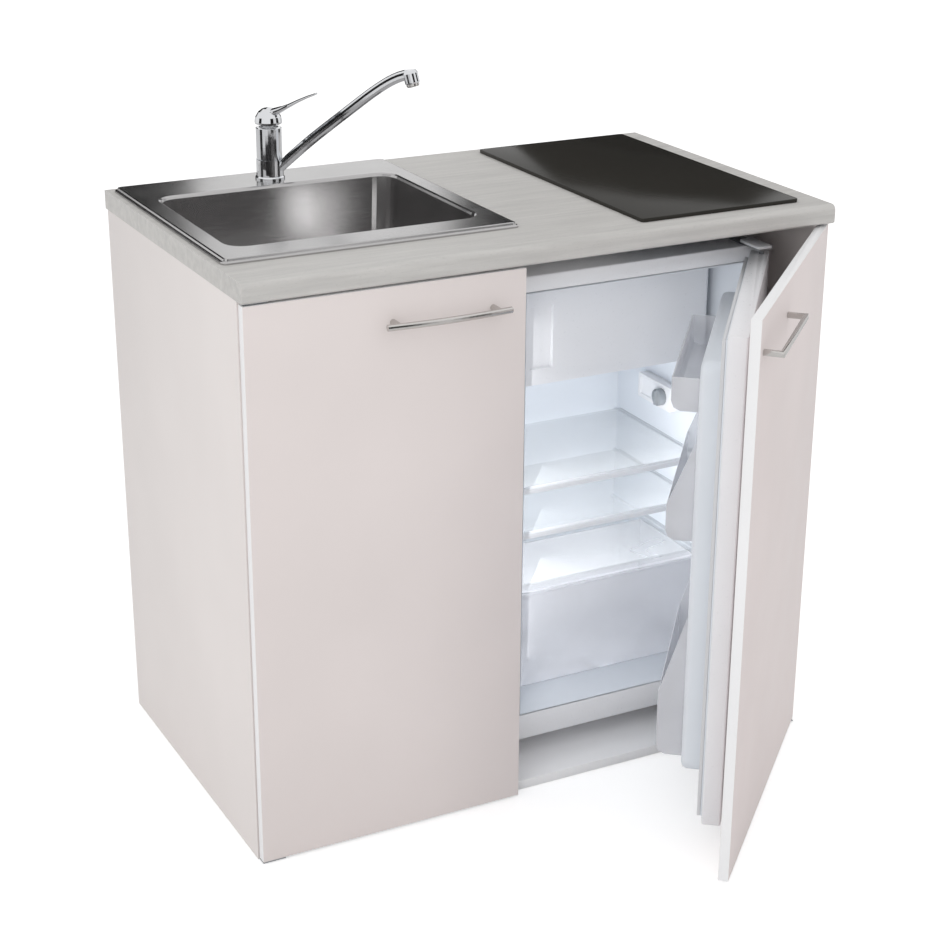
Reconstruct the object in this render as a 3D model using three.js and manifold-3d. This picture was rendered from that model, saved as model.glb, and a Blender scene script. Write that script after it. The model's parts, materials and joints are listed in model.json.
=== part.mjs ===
// Kitchenette unit: one-metre base cabinet with a sink, a tap, a two-zone hob
// and a built-under refrigerator behind its own decor door.
// Millimetres, +Z up, front towards -Y, origin on the floor under the middle.
import * as THREE from 'three';
import { mergeVertices } from 'three/addons/utils/BufferGeometryUtils.js';
import Module from 'manifold-3d';

const wasm = await Module();
wasm.setup();

// ---- driving dimensions (x from the left end, y from the worktop's front edge)
const UNIT_W = 1000;
const UNIT_D = 600;
const UNIT_H = 925;
const BOARD_T = 16;
const WORKTOP_T = 30;
const WORKTOP_NOSE_R = 9;
const WORKTOP_CHAMFER = 3;
const SINK_CABINET_W = 447;
const BACK_INSET = 10;
const BACK_BOARD_T = 4;
const FRONT_RAIL_D = 70;
const REAR_RAIL_H = 80;

const DOOR_T = 16;
const DOOR_SETBACK = 4;
const DOOR_BACK_GAP = 2.5;
const DOOR_TOP_GAP = 4;
const DOOR_FLOOR_GAP = 3.5;
const DOOR_SIDE_GAP = 3;
const LEFT_DOOR_INSET = 2;
const LEFT_PIVOT_INSET = 6;
const LEFT_PIVOT_DEPTH = 7.5;
const DECOR_PIVOT_INSET = 14;
const DECOR_PIVOT_DEPTH = 12.5;
const DECOR_OPEN_DEG = 44;
const SWING_CLEAR = 2;
const PIVOT_PIN_R = 2.5;
const PIVOT_PIN_L = 12;
const PIVOT_PLATE_T = 2.2;
const PIVOT_PLATE_REACH = 24;
const RUN_CLEAR = 0.4;
const TURN_GAP = 0.3;

const BAR_HANDLE_L = 200;
const BAR_HANDLE_R = 5;
const BAR_HANDLE_OUT = 22;
const BAR_HANDLE_BOW = 5.5;
const BAR_HANDLE_DOWN = 53;
const BAR_HANDLE_INSET = 36;
const BAR_POST_INSET = 19;
const SQUARE_HANDLE_L = 190;
const SQUARE_HANDLE_H = 8;
const SQUARE_HANDLE_T = 6;
const SQUARE_HANDLE_OUT = 30;
const SQUARE_HANDLE_DOWN = 52;
const SQUARE_HANDLE_INSET = 18;

const SINK_LEFT = 10;
const SINK_FRONT = 97;
const SINK_BACK_MARGIN = 15;
const SINK_RIM_H = 8;
const SINK_REST_W = 20;
const RIM_CORNER_R = 9;
const SHEET_T = 1.2;
const BOWL_MARGIN_SIDE = 35;
const BOWL_MARGIN_FRONT = 58;
const BOWL_LEDGE_REAR = 100;
const BOWL_PAST_DIVIDER = 5;
const BOWL_FRIDGE_CLEAR = 2.8;
const BOWL_NOTCH_CLEAR = 8;
const BOWL_DEPTH = 150;
const BOWL_TAPER = 9;
const BOWL_CORNER_R = 30;
const BOWL_FILLET = 22;
const DRAIN_R = 44;
const DRAIN_LIP = 3;
const WASTE_TAIL_R = 20;
const WASTE_TAIL_L = 60;
const WASTE_BORE_R = 16;
const WASTE_DROP = 165;
const WASTE_PIPE_R = 20;
const WASTE_WALL = 2;
const TRAP_CUP_R = 34;
const TRAP_CUP_DEPTH = 62;
const TRAP_WALL = 3;
const TRAP_SOCKET_H = 20;

const TAP_OFFSET_X = 9.5;
const TAP_FROM_BACK = 55;
const TAP_HOLE_R = 17;
const TAP_SHANK_L = 44;
const TAP_BODY_R = 21;
const TAP_BODY_H = 84;
const TAP_REACH = 247;
const TAP_RISE = 162;
const TAP_AZIMUTH_DEG = -45;
const SPOUT_TUBE_R = 8.5;
const COLLAR_UP = 12;
const COLLAR_H = 20;
const NOZZLE_TILT_DEG = 14;
const CARTRIDGE_DEPTH = 34;
const LEVER_BALL_R = 5;
const LEVER_BALL_UP = 15;

const HOB_W = 290;
const HOB_GLASS_T = 6;
const HOB_RIGHT_MARGIN = 43;
const HOB_FRONT = 40;
const HOB_BACK_MARGIN = 23;
const HOB_LIP = 12;
const HOB_CORNER_R = 5;
const HOB_TRAY_DEPTH = 44;
const HOB_TRAY_GAP = 3;
const HOB_TRAY_T = 1.5;
const ZONE_FRONT_R = 72;
const ZONE_REAR_R = 90;
const ZONE_WALL = 9;
const ZONE_DEPTH = 11;
const CONTROL_BOARD_W = 180;
const CONTROL_BOARD_D = 40;

const FRIDGE_GAP_RIGHT = 48;
const FRIDGE_GAP_TOP = 45;
const FRIDGE_FOOT_H = 36;
const FRIDGE_FOOT_R = 17;
const FRIDGE_FOOT_BACK = 110;
const FRIDGE_FOOT_IN = 70;
const FRIDGE_FRONT = 86.5;
const FRIDGE_BACK_GAP = 70;
const FRIDGE_WALL = 36;
const FRIDGE_BACK_WALL = 52;
const FRIDGE_ROOF = 26;
const FRIDGE_FLOOR = 46;
const LINER_T = 2;
const FRIDGE_OPEN_DEG = 51.3;
const FRIDGE_PIVOT_INSET = 30;
const FRIDGE_SHELL_T = 29.5;
const FRIDGE_DOOR_INSET = 2;
const FRIDGE_DOOR_SIDE_GAP = 10;
const GASKET_T = 6;
const GASKET_W = 13;
const PAN_DEPTH = 37;
const PAN_WALL = 14;
const PAN_HINGE_WALL = 64;
const PAN_CORNER_R = 22;
const PAN_CREST_R = 10;
const PAN_ROOM_R = 2;
const PAN_TOP_DROP = 35;
const BIN_REACH = 78;
const BIN_WALL = 2.2;
const TOP_BIN_H = 52;
const TOP_BIN_DOWN = 27;
const MIDDLE_BIN_H = 156;
const MIDDLE_BIN_DOWN = 127;
const MIDDLE_BIN_LIP_DROP = 100;
const BOTTLE_BIN_H = 234;
const BOTTLE_BIN_LIP_DROP = 128;
const PLANT_DEPTH = 120;
const PLANT_H = 156;
const COIL_ROWS = 8;
const COIL_TUBE_R = 3;
const COIL_OUT = 14;
const HINGE_PLATE_T = 3;
const HINGE_PLATE_HALF_W = 13;
const HINGE_PIN_R = 4;
const HINGE_PIN_L = 20;
const HINGE_CAP_H = 4;
const GUIDE_PIN_IN = 306;
const GUIDE_PIN_R = 4;
const GUIDE_RUN = 92;

const SHELF_FRONT = 168;
const SHELF_T = 4;
const SHELF_BACK_GAP = 14;
const TRIM_H = 9;
const TRIM_D = 12;
const TRIM_SEAT = 6;
const RIB_OUT = 6;
const RIB_H = 5;
const UPPER_SHELF_UP = 353;
const LOWER_SHELF_UP = 273;
const CRISPER_LID_UP = 181;
const CRISPER_WALL = 2.5;
const ICE_BOX_H = 183;
const ICE_BOX_BACK_GAP = 24;
const ICE_WALL = 3;
const FLAP_T = 14;
const FLAP_AXIS_INSET = 9;
const FLAP_PIN_R = 2;
const THERMOSTAT_UP = 58;
const THERMOSTAT_BACK = 94;
const THERMOSTAT_L = 104;
const THERMOSTAT_H = 44;
const THERMOSTAT_D = 20;
const KNOB_R = 15;
const KNOB_T = 12;

// ---- derived positions
const TOP_Z = UNIT_H - WORKTOP_T;
const CARCASS_FRONT = DOOR_SETBACK + DOOR_T + DOOR_BACK_GAP;
const CARCASS_BACK = UNIT_D - BACK_INSET;
const DOOR_INNER = DOOR_SETBACK + DOOR_T;
const DOOR_TOP = TOP_Z - DOOR_TOP_GAP;
const BAY_X0 = SINK_CABINET_W;
const BAY_X1 = UNIT_W - BOARD_T;

const LEFT_DOOR_X0 = LEFT_DOOR_INSET;
const LEFT_DOOR_X1 = SINK_CABINET_W;
const LEFT_PIVOT = [LEFT_DOOR_X0 + LEFT_PIVOT_INSET, DOOR_SETBACK + LEFT_PIVOT_DEPTH];
const DECOR_X0 = SINK_CABINET_W + DOOR_SIDE_GAP;
const DECOR_X1 = UNIT_W - DOOR_SIDE_GAP;
const DECOR_PIVOT = [DECOR_X1 - DECOR_PIVOT_INSET, DOOR_SETBACK + DECOR_PIVOT_DEPTH];
const DECOR_SWEEP_R = Math.hypot(DECOR_PIVOT_INSET, DOOR_T - DECOR_PIVOT_DEPTH);
const RIGHT_PANEL_FRONT = DECOR_PIVOT[1] + DECOR_SWEEP_R + SWING_CLEAR;

const SINK_W = SINK_CABINET_W - SINK_LEFT + BOWL_PAST_DIVIDER + BOWL_MARGIN_SIDE;
const SINK_D = UNIT_D - SINK_FRONT - SINK_BACK_MARGIN;
const RIM_Z = UNIT_H + SINK_RIM_H;
const BOWL_X0 = SINK_LEFT + BOWL_MARGIN_SIDE;
const BOWL_X1 = SINK_LEFT + SINK_W - BOWL_MARGIN_SIDE;
const BOWL_Y0 = SINK_FRONT + BOWL_MARGIN_FRONT;
const BOWL_Y1 = SINK_FRONT + SINK_D - BOWL_LEDGE_REAR;
const DRAIN = { x: (BOWL_X0 + BOWL_X1) / 2, y: (BOWL_Y0 + BOWL_Y1) / 2, z: RIM_Z - BOWL_DEPTH };
const DRAIN_FOOT = DRAIN.z - DRAIN_LIP;
const WASTE_Z = DRAIN.z - WASTE_DROP;
const TAP = { x: DRAIN.x + TAP_OFFSET_X, y: SINK_FRONT + SINK_D - TAP_FROM_BACK, z: RIM_Z };

const HOB_X1 = UNIT_W - HOB_RIGHT_MARGIN;
const HOB_X0 = HOB_X1 - HOB_W;
const HOB_BACK = UNIT_D - HOB_BACK_MARGIN;

const FR_X0 = BAY_X0 + BOWL_PAST_DIVIDER + SHEET_T + BOWL_FRIDGE_CLEAR;
const FR_X1 = BAY_X1 - FRIDGE_GAP_RIGHT;
const FR_Z0 = BOARD_T + FRIDGE_FOOT_H;
const FR_Z1 = TOP_Z - FRIDGE_GAP_TOP;
const FR_Y0 = FRIDGE_FRONT;
const FR_Y1 = CARCASS_BACK - FRIDGE_BACK_GAP;
const CAV_X0 = FR_X0 + FRIDGE_WALL;
const CAV_X1 = FR_X1 - FRIDGE_WALL;
const CAV_Z0 = FR_Z0 + FRIDGE_FLOOR;
const CAV_Z1 = FR_Z1 - FRIDGE_ROOF;
const CAV_Y1 = FR_Y1 - FRIDGE_BACK_WALL;
const STEP_Y = FR_Y1 - PLANT_DEPTH - FRIDGE_WALL;
const STEP_Z = FR_Z0 + PLANT_H + FRIDGE_WALL;
const IN_X0 = CAV_X0 + LINER_T;
const IN_X1 = CAV_X1 - LINER_T;
const IN_Z0 = CAV_Z0 + LINER_T;
const IN_Z1 = CAV_Z1 - LINER_T;
const IN_Y1 = CAV_Y1 - LINER_T;
const UPPER_SHELF_Z = IN_Z0 + UPPER_SHELF_UP;
const LOWER_SHELF_Z = IN_Z0 + LOWER_SHELF_UP;
const CRISPER_LID_Z = IN_Z0 + CRISPER_LID_UP;

const ICE_X0 = IN_X0 + 4;
const ICE_X1 = IN_X1 - 12;
const ICE_Y0 = SHELF_FRONT + FLAP_T;
const ICE_Y1 = IN_Y1 - ICE_BOX_BACK_GAP;
const ICE_Z0 = IN_Z1 - ICE_BOX_H;
const FLAP_AXIS = [ICE_X1 - FLAP_AXIS_INSET, SHELF_FRONT + FLAP_T / 2];
const UPPER_LUG_Z = IN_Z1 - 20;

const SHELL_X0 = FR_X0 + FRIDGE_DOOR_INSET;
const SHELL_X1 = FR_X1 - FRIDGE_DOOR_SIDE_GAP;
const SHELL_Y1 = FR_Y0 - GASKET_T - LINER_T - 0.5;
const SHELL_Y0 = SHELL_Y1 - FRIDGE_SHELL_T;
const SHELL_Z0 = FR_Z0 + 5;
const SHELL_Z1 = FR_Z1 - 7;
const FRIDGE_PIVOT = [FR_X1 - FRIDGE_PIVOT_INSET, SHELL_Y1 - FRIDGE_SHELL_T * 0.61];
const PLATE_Y0 = SHELL_Y1 + TURN_GAP;
const PLATE_Y1 = PLATE_Y0 + LINER_T;
const PLATE_X0 = SHELL_X0 + 8;
const PLATE_X1 = FRIDGE_PIVOT[0] + 2;
const PLATE_Z0 = SHELL_Z0 + 10;
const PLATE_Z1 = SHELL_Z1 - 8;
const PAN_X0 = IN_X0 + 4;
const PAN_X1 = IN_X1 - 10;
const PAN_Z0 = IN_Z0 + 20;
const PAN_Z1 = IN_Z1 - PAN_TOP_DROP;
const PAN_ROOM = [PAN_X0 + PAN_WALL, PAN_X1 - PAN_HINGE_WALL, PAN_Z0 + PAN_WALL, PAN_Z1 - PAN_WALL];
const GUIDE_PIN = [FRIDGE_PIVOT[0] - GUIDE_PIN_IN, SHELL_Y0 + 2];

// ---- geometry helpers
function box(x0, x1, y0, y1, z0, z1) {
  const g = new THREE.BoxGeometry(x1 - x0, y1 - y0, z1 - z0);
  g.translate((x0 + x1) / 2, (y0 + y1) / 2, (z0 + z1) / 2);
  return g;
}

function shapeOf(points) {
  return new THREE.Shape(points.map(([u, v]) => new THREE.Vector2(u, v)));
}

function extrude(points, depth) {
  return new THREE.ExtrudeGeometry(shapeOf(points), { depth, bevelEnabled: false });
}

function alongZ(pointsXY, z0, z1) {
  const g = extrude(pointsXY, z1 - z0);
  g.translate(0, 0, z0);
  return g;
}

function alongX(pointsYZ, x0, x1) {
  const g = extrude(pointsYZ, x1 - x0);
  g.applyMatrix4(new THREE.Matrix4().set(0, 0, 1, x0, 1, 0, 0, 0, 0, 1, 0, 0, 0, 0, 0, 1));
  return g;
}

function roundedOutline(u0, u1, v0, v1, r, steps = 6) {
  const points = [];
  const right = u1 - r;
  const left = u0 + r;
  const corners = [[right, v0 + r, -90], [right, v1 - r, 0], [left, v1 - r, 90], [left, v0 + r, 180]];
  for (const [cu, cv, start] of corners) {
    for (let i = 0; i <= steps; i += 1) {
      const a = THREE.MathUtils.degToRad(start + (90 * i) / steps);
      points.push([cu + r * Math.cos(a), cv + r * Math.sin(a)]);
    }
  }
  return points;
}

function rod(axis, at, r, length, segments = 24) {
  const g = new THREE.CylinderGeometry(r, r, length, segments);
  g.translate(0, length / 2, 0);
  if (axis === 'z') g.rotateX(Math.PI / 2);
  if (axis === 'x') g.rotateZ(-Math.PI / 2);
  g.translate(at[0], at[1], at[2]);
  return g;
}

function turned(profileRZ, x, y, segments = 28) {
  const points = profileRZ.map(([r, z]) => new THREE.Vector2(r, z));
  const g = new THREE.LatheGeometry(points, segments);
  g.rotateX(Math.PI / 2);
  g.translate(x, y, 0);
  return g;
}

function solid(geometry) {
  const bare = geometry.clone();
  bare.deleteAttribute('normal');
  bare.deleteAttribute('uv');
  const welded = mergeVertices(bare, 1e-4);
  const mesh = new wasm.Mesh({
    numProp: 3,
    vertProperties: new Float32Array(welded.attributes.position.array),
    triVerts: new Uint32Array(welded.index.array),
  });
  return new wasm.Manifold(mesh);
}

function shell(manifold) {
  const mesh = manifold.getMesh();
  const g = new THREE.BufferGeometry();
  g.setAttribute('position', new THREE.BufferAttribute(new Float32Array(mesh.vertProperties), 3));
  g.setIndex(new THREE.BufferAttribute(new Uint32Array(mesh.triVerts), 1));
  return g;
}

function carve(base, ...cuts) {
  return shell(cuts.reduce((body, cut) => body.subtract(solid(cut)), solid(base)));
}

function fuse(base, ...more) {
  return shell(more.reduce((body, extra) => body.add(solid(extra)), solid(base)));
}

function turnAbout(geometry, pivot, degrees) {
  geometry.translate(-pivot[0], -pivot[1], 0);
  geometry.rotateZ(THREE.MathUtils.degToRad(degrees));
  geometry.translate(pivot[0], pivot[1], 0);
  return geometry;
}

function stitch(index, from, to, n) {
  for (let i = 0; i < n; i += 1) {
    const j = (i + 1) % n;
    index.push(from + i, to + i, to + j, from + i, to + j, from + j);
  }
}

function skinOf(rings, index) {
  const g = new THREE.BufferGeometry();
  g.setAttribute('position', new THREE.BufferAttribute(new Float32Array(rings.flat(2)), 3));
  g.setIndex(index);
  return g;
}

// closed skin through rings of equal length; the last ring joins the first
function loftLoop(rings) {
  const n = rings[0].length;
  const index = [];
  rings.forEach((ring, k) => stitch(index, k * n, ((k + 1) % rings.length) * n, n));
  return skinOf(rings, index);
}

// closed skin through rings of equal length, with a flat cap at each end
function loftSolid(rings) {
  const n = rings[0].length;
  const last = (rings.length - 1) * n;
  const index = [];
  for (let k = 0; k < last; k += n) stitch(index, k, k + n, n);
  for (let i = 1; i < n - 1; i += 1) index.push(0, i, i + 1, last, last + i + 1, last + i);
  return skinOf(rings, index);
}

function sweep(section, points, steps) {
  const path = new THREE.CatmullRomCurve3(points.map((p) => new THREE.Vector3(...p)), false, 'centripetal');
  return new THREE.ExtrudeGeometry(shapeOf(section), { steps, bevelEnabled: false, extrudePath: path });
}

function circlePoints(r, n) {
  return Array.from({ length: n }, (_, i) => {
    const a = (2 * Math.PI * i) / n;
    return [r * Math.cos(a), r * Math.sin(a)];
  });
}

// points of a profile's arc about a centre on the axis
function arc(r, centre, from, to, n) {
  return Array.from({ length: n + 1 }, (_, i) => {
    const a = THREE.MathUtils.degToRad(from + ((to - from) * i) / n);
    return [r * Math.cos(a), centre + r * Math.sin(a)];
  });
}

// ---- finishes
const FINISH = {
  front: [0xe2dedb, 0.45, 0],
  carcass: [0xe6e3e0, 0.55, 0],
  worktop: [0xc4c2be, 0.6, 0],
  steel: [0xc8c9ca, 0.28, 1],
  zinc: [0xb4b6b8, 0.4, 1],
  chrome: [0xe4e6e8, 0.08, 1],
  satin: [0x8f9092, 0.35, 1],
  glassBlack: [0x161412, 0.08, 0],
  enamel: [0xeef0f3, 0.35, 0],
  liner: [0xe4e9ef, 0.4, 0],
  seal: [0xd9dade, 0.7, 0],
  clear: [0xb9c4cc, 0.12, 0],
  whitePlastic: [0xe9ecf0, 0.35, 0],
  greyPlastic: [0x9aa0a6, 0.45, 0],
  blackPlastic: [0x1b1b1c, 0.5, 0],
  blackSteel: [0x232426, 0.45, 0.6],
  heater: [0x4b4a48, 0.8, 0],
};

const unit = new THREE.Group();
unit.name = 'kitchenette_unit';

function add(name, geometry, finish) {
  const [color, roughness, metalness] = FINISH[finish];
  geometry.translate(-UNIT_W / 2, -UNIT_D / 2, 0);
  const mesh = new THREE.Mesh(geometry, new THREE.MeshStandardMaterial({ color, roughness, metalness }));
  mesh.name = name;
  unit.add(mesh);
}

// ---- carcass
function addUprights() {
  const y0 = CARCASS_FRONT;
  const y1 = CARCASS_BACK;
  const c = BOWL_NOTCH_CLEAR;
  add('left_side_panel', box(0, BOARD_T, y0, y1, 0, TOP_Z), 'carcass');
  const divider = box(SINK_CABINET_W - BOARD_T, SINK_CABINET_W, y0, y1, 0, TOP_Z);
  const bowlNotch = box(BOWL_X0 - c, BOWL_X1 + c, BOWL_Y0 - c, BOWL_Y1 + c, DRAIN.z - 2 * c, UNIT_H);
  add('divider_panel', carve(divider, bowlNotch), 'carcass');
  add('right_side_panel', box(BAY_X1, UNIT_W, RIGHT_PANEL_FRONT, y1, 0, TOP_Z), 'carcass');
}

function addFloorsAndRails() {
  const inner = [BOARD_T, SINK_CABINET_W - BOARD_T];
  const y0 = CARCASS_FRONT;
  const backFace = CARCASS_BACK - BACK_BOARD_T;
  add('sink_cabinet_floor', box(...inner, y0, backFace, 0, BOARD_T), 'carcass');
  const bayFloor = box(BAY_X0, BAY_X1, y0, CARCASS_BACK, 0, BOARD_T);
  const swingNotch = box(DECOR_PIVOT[0] - DECOR_SWEEP_R - SWING_CLEAR, BAY_X1 + 1, y0 - 1,
    RIGHT_PANEL_FRONT, -1, BOARD_T + 1);
  add('fridge_bay_floor', carve(bayFloor, swingNotch), 'carcass');
  add('sink_front_rail', box(...inner, y0, y0 + FRONT_RAIL_D, TOP_Z - BOARD_T, TOP_Z), 'carcass');
  const rearRail = box(BAY_X0, BAY_X1, CARCASS_BACK - BOARD_T, CARCASS_BACK, TOP_Z - REAR_RAIL_H, TOP_Z);
  add('fridge_rear_rail', rearRail, 'carcass');
  const back = box(...inner, backFace, CARCASS_BACK, 0, TOP_Z);
  const pipeHole = rod('y', [DRAIN.x, backFace - 1, WASTE_Z], WASTE_PIPE_R + 6, BACK_BOARD_T + 2);
  add('sink_back_panel', carve(back, pipeHole), 'carcass');
}

function addWorktop() {
  const r = WORKTOP_NOSE_R;
  const rest = SINK_REST_W;
  const nose = [[UNIT_D, TOP_Z], [UNIT_D, UNIT_H]];
  for (let i = 0; i <= 6; i += 1) {
    const a = THREE.MathUtils.degToRad(90 + 15 * i);
    nose.push([r + r * Math.cos(a), UNIT_H - r + r * Math.sin(a)]);
  }
  nose.push([0, TOP_Z + WORKTOP_CHAMFER], [WORKTOP_CHAMFER, TOP_Z]);
  const slab = alongX(nose, 0, UNIT_W);
  const sinkHole = box(SINK_LEFT + rest, SINK_LEFT + SINK_W - rest,
    SINK_FRONT + rest, SINK_FRONT + SINK_D - rest, TOP_Z - 1, UNIT_H + 1);
  const hobHole = box(HOB_X0 + HOB_LIP, HOB_X1 - HOB_LIP, HOB_FRONT + HOB_LIP, HOB_BACK - HOB_LIP,
    TOP_Z - 1, UNIT_H + 1);
  add('worktop', carve(slab, sinkHole, hobHole), 'worktop');
}

// ---- sink: one pressed sheet, lofted over its upper face and back under it
function ring(x0, x1, y0, y1, r, z) {
  return roundedOutline(x0, x1, y0, y1, r).map(([x, y]) => [x, y, z]);
}

function bowlRing([inset, r, z]) {
  return ring(BOWL_X0 + inset, BOWL_X1 - inset, BOWL_Y0 + inset, BOWL_Y1 - inset, r, z);
}

function rimRing(inset, r, z) {
  const x1 = SINK_LEFT + SINK_W - inset;
  return ring(SINK_LEFT + inset, x1, SINK_FRONT + inset, SINK_FRONT + SINK_D - inset, r, z);
}

function drainRing(r, z) {
  return ring(DRAIN.x - r, DRAIN.x + r, DRAIN.y - r, DRAIN.y + r, r, z);
}

function bowlWall() {
  const foot = DRAIN.z + 2;
  const wall = [];
  for (let i = 0; i <= 4; i += 1) {
    const a = (Math.PI / 2) * (i / 4);
    const left = BOWL_FILLET * (1 - Math.sin(a));
    wall.push([BOWL_TAPER + left, BOWL_CORNER_R - left * 0.6, foot + BOWL_FILLET * (1 - Math.cos(a))]);
  }
  wall.push([2.5, BOWL_CORNER_R, RIM_Z - 5], [0.8, BOWL_CORNER_R, RIM_Z - 1.6]);
  wall.push([-2, BOWL_CORNER_R + 2, RIM_Z]);
  return wall;
}

function addSink() {
  const t = SHEET_T;
  const r = RIM_CORNER_R;
  const edge = RIM_Z - 5.6;
  const wall = bowlWall();
  const under = wall.slice(0, -1).reverse().map(([inset, corner, z]) => [inset - t, corner + t, z - t / 2]);
  const skin = loftLoop([
    drainRing(DRAIN_R, DRAIN_FOOT),
    drainRing(DRAIN_R, DRAIN.z),
    ...wall.map(bowlRing),
    rimRing(7, r - 4, RIM_Z),
    rimRing(4.5, r - 3, RIM_Z - 0.8),
    rimRing(3.4, r - 2, RIM_Z - 3.4),
    rimRing(1.4, r - 1, RIM_Z - 4.2),
    rimRing(0, r, edge),
    rimRing(0, r, UNIT_H),
    rimRing(t, r - t, UNIT_H),
    rimRing(t, r - t, edge - t),
    rimRing(3.4 + t, r - 2 - t, RIM_Z - 4.2 - t),
    rimRing(7, r - 5, RIM_Z - t),
    bowlRing([-2 - t, BOWL_CORNER_R + 2 + t, RIM_Z - t]),
    ...under.map(bowlRing),
    drainRing(DRAIN_R + t, DRAIN.z - t),
    drainRing(DRAIN_R + t, DRAIN_FOOT),
  ]);
  const tapHole = rod('z', [TAP.x, TAP.y, RIM_Z - SINK_RIM_H], TAP_HOLE_R, 2 * SINK_RIM_H);
  add('sink', carve(skin, tapHole), 'steel');
}

// ---- waste under the sink
function addStrainerAndPlug() {
  const top = DRAIN_FOOT;
  const flange = DRAIN_R + SHEET_T;
  const tail = top - WASTE_TAIL_L;
  const strainer = [[flange, top], [DRAIN_R - 5, top], [DRAIN_R - 8, top - 2.4], [WASTE_TAIL_R, top - 20],
    [WASTE_BORE_R, top - 24], [WASTE_BORE_R, tail], [WASTE_TAIL_R, tail], [WASTE_TAIL_R, top - 26],
    [WASTE_TAIL_R + 4, top - 22], [DRAIN_R - 4, top - 5], [flange, top - 3], [flange, top]];
  add('strainer', turned(strainer, DRAIN.x, DRAIN.y), 'steel');
  const edge = DRAIN_R - 9.5;
  const plug = [[0, top - 14], [edge - 9.5, top - 14], [edge, top - 3.6], [edge, top + 0.2], [7, top + 1.2],
    [6, top + 11], [4, top + 13], [0, top + 13]];
  add('sink_plug', turned(plug, DRAIN.x, DRAIN.y), 'steel');
}

function addTrapAndPipe() {
  const { x, y } = DRAIN;
  const tail = DRAIN_FOOT - WASTE_TAIL_L;
  const socketTop = tail + TRAP_SOCKET_H;
  const foot = WASTE_Z - TRAP_CUP_DEPTH;
  const inner = TRAP_CUP_R - TRAP_WALL;
  const neck = WASTE_TAIL_R + 4;
  const seat = WASTE_TAIL_R + TURN_GAP;
  const bore = WASTE_BORE_R + 1.5;
  const cup = [[0, foot], [TRAP_CUP_R - 4, foot], [TRAP_CUP_R, foot + 5], [TRAP_CUP_R, WASTE_Z + 22],
    [neck, WASTE_Z + 30], [neck, socketTop], [seat, socketTop], [seat, tail], [bore, tail],
    [bore, WASTE_Z + 26], [inner, WASTE_Z + 18], [inner, foot + 4], [0, foot + 4]];
  const outlet = solid(rod('y', [x, y + 20, WASTE_Z], WASTE_PIPE_R + TRAP_WALL, TRAP_CUP_R))
    .subtract(solid(rod('z', [x, y, WASTE_Z - 40], inner + 1.5, 80)));
  const through = rod('y', [x, y, WASTE_Z], WASTE_PIPE_R - WASTE_WALL, 80);
  const pipeFrom = y + TRAP_CUP_R + 4;
  const socket = rod('y', [x, pipeFrom, WASTE_Z], WASTE_PIPE_R + RUN_CLEAR, 40);
  const trap = solid(turned(cup, x, y)).add(outlet).subtract(solid(through)).subtract(solid(socket));
  add('bottle_trap', shell(trap), 'whitePlastic');
  const pipeL = CARCASS_BACK + 6 - pipeFrom;
  const pipe = rod('y', [x, pipeFrom, WASTE_Z], WASTE_PIPE_R, pipeL);
  const hollow = rod('y', [x, pipeFrom - 1, WASTE_Z], WASTE_PIPE_R - WASTE_WALL, pipeL + 2);
  add('waste_pipe', carve(pipe, hollow), 'whitePlastic');
}

// ---- tap: heights are measured up from the sink's rim
function tapPoint(radial, side, up) {
  const a = THREE.MathUtils.degToRad(TAP_AZIMUTH_DEG);
  const x = TAP.x + radial * Math.cos(a) - side * Math.sin(a);
  const y = TAP.y + radial * Math.sin(a) + side * Math.cos(a);
  return [x, y, TAP.z + up];
}

function turnedTap(profile, segments) {
  return turned(profile.map(([r, up]) => [r, TAP.z + up]), TAP.x, TAP.y, segments);
}

function addTapBody() {
  const R = TAP_BODY_R;
  const h = TAP_BODY_H;
  const shank = TAP_HOLE_R - 3;
  const throat = R - 4;
  const collarTop = COLLAR_UP + COLLAR_H + 1;
  const cup = h - CARTRIDGE_DEPTH;
  add('tap_body', turnedTap([[0, -TAP_SHANK_L], [shank, -TAP_SHANK_L], [shank, 0], [R + 3, 0], [R + 3, 3],
    [R + 1, 5], [R + 1, COLLAR_UP], [throat, COLLAR_UP], [throat, collarTop], [R, collarTop], [R, h - 1],
    [R - 1, h], [R - 5, h], [R - 5, cup], [0, cup]]), 'chrome');
  const bore = shank + RUN_CLEAR;
  const top = -SHEET_T;
  add('tap_fixing_nut', turnedTap([[bore, top - 14], [TAP_HOLE_R + 9, top - 14], [TAP_HOLE_R + 9, top - 3],
    [TAP_HOLE_R + 12, top - 3], [TAP_HOLE_R + 12, top], [bore, top], [bore, top - 14]], 24), 'zinc');
}

function nozzle(profile, up) {
  const g = turned(profile, 0, 0, 24);
  g.rotateY(THREE.MathUtils.degToRad(-NOZZLE_TILT_DEG));
  g.rotateZ(THREE.MathUtils.degToRad(TAP_AZIMUTH_DEG));
  g.translate(...tapPoint(TAP_REACH, 0, up));
  return g;
}

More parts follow.
